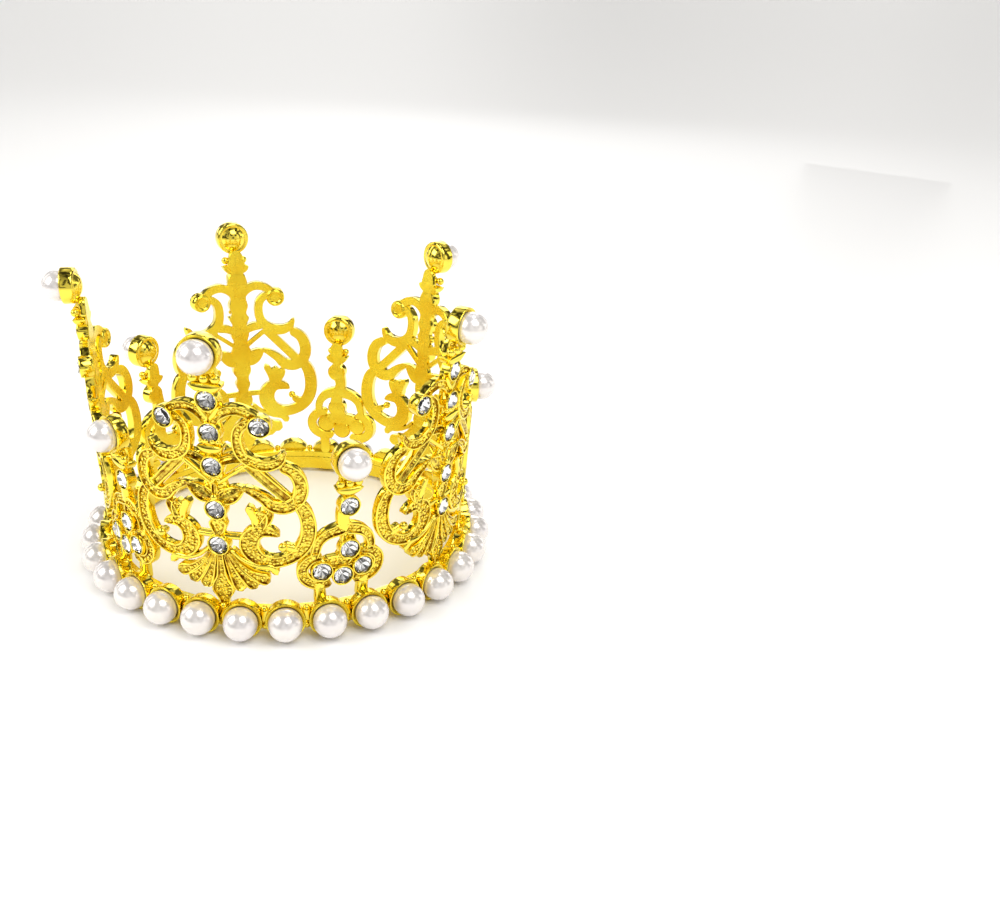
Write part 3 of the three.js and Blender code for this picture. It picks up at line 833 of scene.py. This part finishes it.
class CROWN_OT_tall_peaks(Operator):
    """Model the tall openwork peak and stand five of them round the band"""
    bl_idname = "crown.tall_peaks"
    bl_label = "Tall peaks"

    def execute(self, context):
        sizes = context.scene.crown_sizes
        outline = SHELL + [(-x, y) for x, y in reversed(SHELL)]
        shell = plate(outline, SHELL_INSET - sizes.sheet / MM, SHELL_FRONT)
        strokes = TALL_SIDE + mirrored(TALL_SIDE) + TALL_MIDDLE
        stones = TALL_STONES + [CREST]
        bm = openwork(strokes, TALL_BEADS, [shell], stones, TALL_LEAN, sizes)
        add_settings(bm, stones, TALL_LEAN, (0, TALL_TIP))
        for i in range(PEAK_PAIRS):
            stand(bm, f"tall_openwork_{i + 1}", peak_turn(i), gold_finishes(), [f"tall_peak_{i + 1}"])
        bm.free()
        return {"FINISHED"}


class CROWN_OT_short_peaks(Operator):
    """Model the short openwork peak and stand five of them between the tall ones"""
    bl_idname = "crown.short_peaks"
    bl_label = "Short peaks"

    def execute(self, context):
        sizes = context.scene.crown_sizes
        strokes = [(finish, lift, [[x + FLOWER_X, y, w] for x, y, w in points])
                   for finish, lift, points in SHORT_SIDE + mirrored(SHORT_SIDE) + SHORT_MIDDLE]
        bm = openwork(strokes, SHORT_BEADS, [], SHORT_STONES, SHORT_LEAN, sizes)
        add_settings(bm, SHORT_STONES, SHORT_LEAN, (SHORT_TIP_SHIFT, SHORT_TIP))
        for i in range(PEAK_PAIRS):
            stand(bm, f"short_openwork_{i + 1}", peak_turn(i, short=True), gold_finishes(),
                  [f"short_peak_{i + 1}"])
        bm.free()
        return {"FINISHED"}


class CROWN_OT_pearls(Operator):
    """Set a pearl in every cup"""
    bl_idname = "crown.pearls"
    bl_label = "Pearls"

    def execute(self, context):
        sizes = context.scene.crown_sizes
        places = [(f"pearl_band_{i + 1}", f"base_pearl_{i + 1}", 2 * math.pi * (i + 0.5) / PEARLS, (0, 0, 0))
                  for i in range(PEARLS)]
        for i in range(PEAK_PAIRS):
            places.append((f"pearl_tall_{i + 1}", f"tall_tip_pearl_{i + 1}", peak_turn(i),
                           (0, TALL_TIP, TALL_LEAN)))
            places.append((f"pearl_short_{i + 1}", f"short_tip_pearl_{i + 1}", peak_turn(i, short=True),
                           (SHORT_TIP_SHIFT, SHORT_TIP, SHORT_LEAN)))
        for name, node, turn, place in places:
            radius = (sizes.pearl if "band" in name else sizes.tip_pearl) / MM
            piece = bmesh.new()
            bmesh.ops.create_uvsphere(piece, u_segments=48, v_segments=28, radius=radius,
                                      matrix=placed(*place) @ Matrix.Translation((0, 0, PEARL_STANDOFF)))
            shade_smooth(piece)
            stand(piece, name, turn, [nacre_finish()], [node])
            piece.free()
        return {"FINISHED"}


def cut_stone(radius):
    """A clear faceted crown over a pointed foil back, its girdle level with z = 0."""
    bm = bmesh.new()
    bmesh.ops.create_cone(bm, cap_ends=True, segments=STONE_FACETS, radius1=radius,
                          radius2=radius * STONE_TABLE, depth=STONE_CROWN,
                          matrix=Matrix.Translation((0, 0, STONE_CROWN / 2 + STONE_GAP)))
    foil = bmesh.new()
    bmesh.ops.create_cone(foil, cap_ends=False, segments=STONE_FACETS, radius1=0.0, radius2=radius,
                          depth=FOIL_DEPTH, matrix=Matrix.Translation((0, 0, -FOIL_DEPTH / 2)))
    rim = sorted((v for v in foil.verts if v.co.z > -0.1), key=lambda v: math.atan2(v.co.y, v.co.x))
    bmesh.ops.translate(foil, verts=rim[::2], vec=(0, 0, FOIL_SCALLOP))
    bmesh.ops.recalc_face_normals(foil, faces=foil.faces)
    for face in foil.faces:
        if face.normal.z < 0:
            face.normal_flip()
        # each foil facet gets one of the fixed tones round the stone: painted reflections
        centre = face.calc_center_median()
        part = int(math.atan2(centre.y, centre.x) / (2 * math.pi) * len(FACET_PAINTED_REFLECTIONS)) % len(FACET_PAINTED_REFLECTIONS)
        face.material_index = 1 + FACET_PAINTED_REFLECTIONS[part]
    bmesh.ops.solidify(foil, geom=list(foil.faces), thickness=FOIL_THICKNESS)
    add_mesh(bm, foil)
    foil.free()
    return bm


class CROWN_OT_stones(Operator):
    """Set a cut stone in every round setting"""
    bl_idname = "crown.stones"
    bl_label = "Stones"

    def execute(self, context):
        stone = cut_stone(context.scene.crown_sizes.stone / MM)
        seat = Matrix.Translation((0, 0, STONE_RISE))
        for i in range(PEAK_PAIRS):
            turn = peak_turn(i)
            sets = [
                (f"tall_crystals_{i + 1}", TALL_STONES, TALL_LEAN, turn, []),
                (f"crest_crystal_{i + 1}", [CREST], TALL_LEAN, turn, [f"crest_stone_{i + 1}"]),
                (f"short_crystals_{i + 1}", SHORT_STONES, SHORT_LEAN, peak_turn(i, short=True), []),
            ]
            for name, places, lean, angle, nodes in sets:
                bm = bmesh.new()
                for x, y in places:
                    add_mesh(bm, stone, placed(x, y, lean) @ seat)
                stand(bm, name, angle, stone_finishes(), nodes, crease=5)
                bm.free()
        stone.free()
        return {"FINISHED"}


class CROWN_PT_panel(Panel):
    bl_label = "Pearl Crown"
    bl_idname = "CROWN_PT_panel"
    bl_space_type = "VIEW_3D"
    bl_region_type = "UI"
    bl_category = "Crown"

    def draw(self, context):
        for group in (context.scene.crown_sizes, context.scene.crown_colours):
            for name in group.__annotations__:
                self.layout.prop(group, name)
        for operator in OPERATORS:
            self.layout.operator(operator.bl_idname)


OPERATORS = (CROWN_OT_stage, CROWN_OT_band, CROWN_OT_tall_peaks, CROWN_OT_short_peaks, CROWN_OT_pearls,
             CROWN_OT_stones)
CLASSES = (CrownSizes, CrownColours, *OPERATORS, CROWN_PT_panel)


def register():
    for cls in CLASSES:
        bpy.utils.register_class(cls)
    bpy.types.Scene.crown_sizes = PointerProperty(type=CrownSizes)
    bpy.types.Scene.crown_colours = PointerProperty(type=CrownColours)


def unregister():
    del bpy.types.Scene.crown_sizes
    del bpy.types.Scene.crown_colours
    for cls in reversed(CLASSES):
        bpy.utils.unregister_class(cls)


def main():
    register()
    bpy.ops.crown.stage()
    bpy.ops.crown.band()
    bpy.ops.crown.tall_peaks()
    bpy.ops.crown.short_peaks()
    bpy.ops.crown.pearls()
    bpy.ops.crown.stones()


if __name__ == "__main__":
    main()
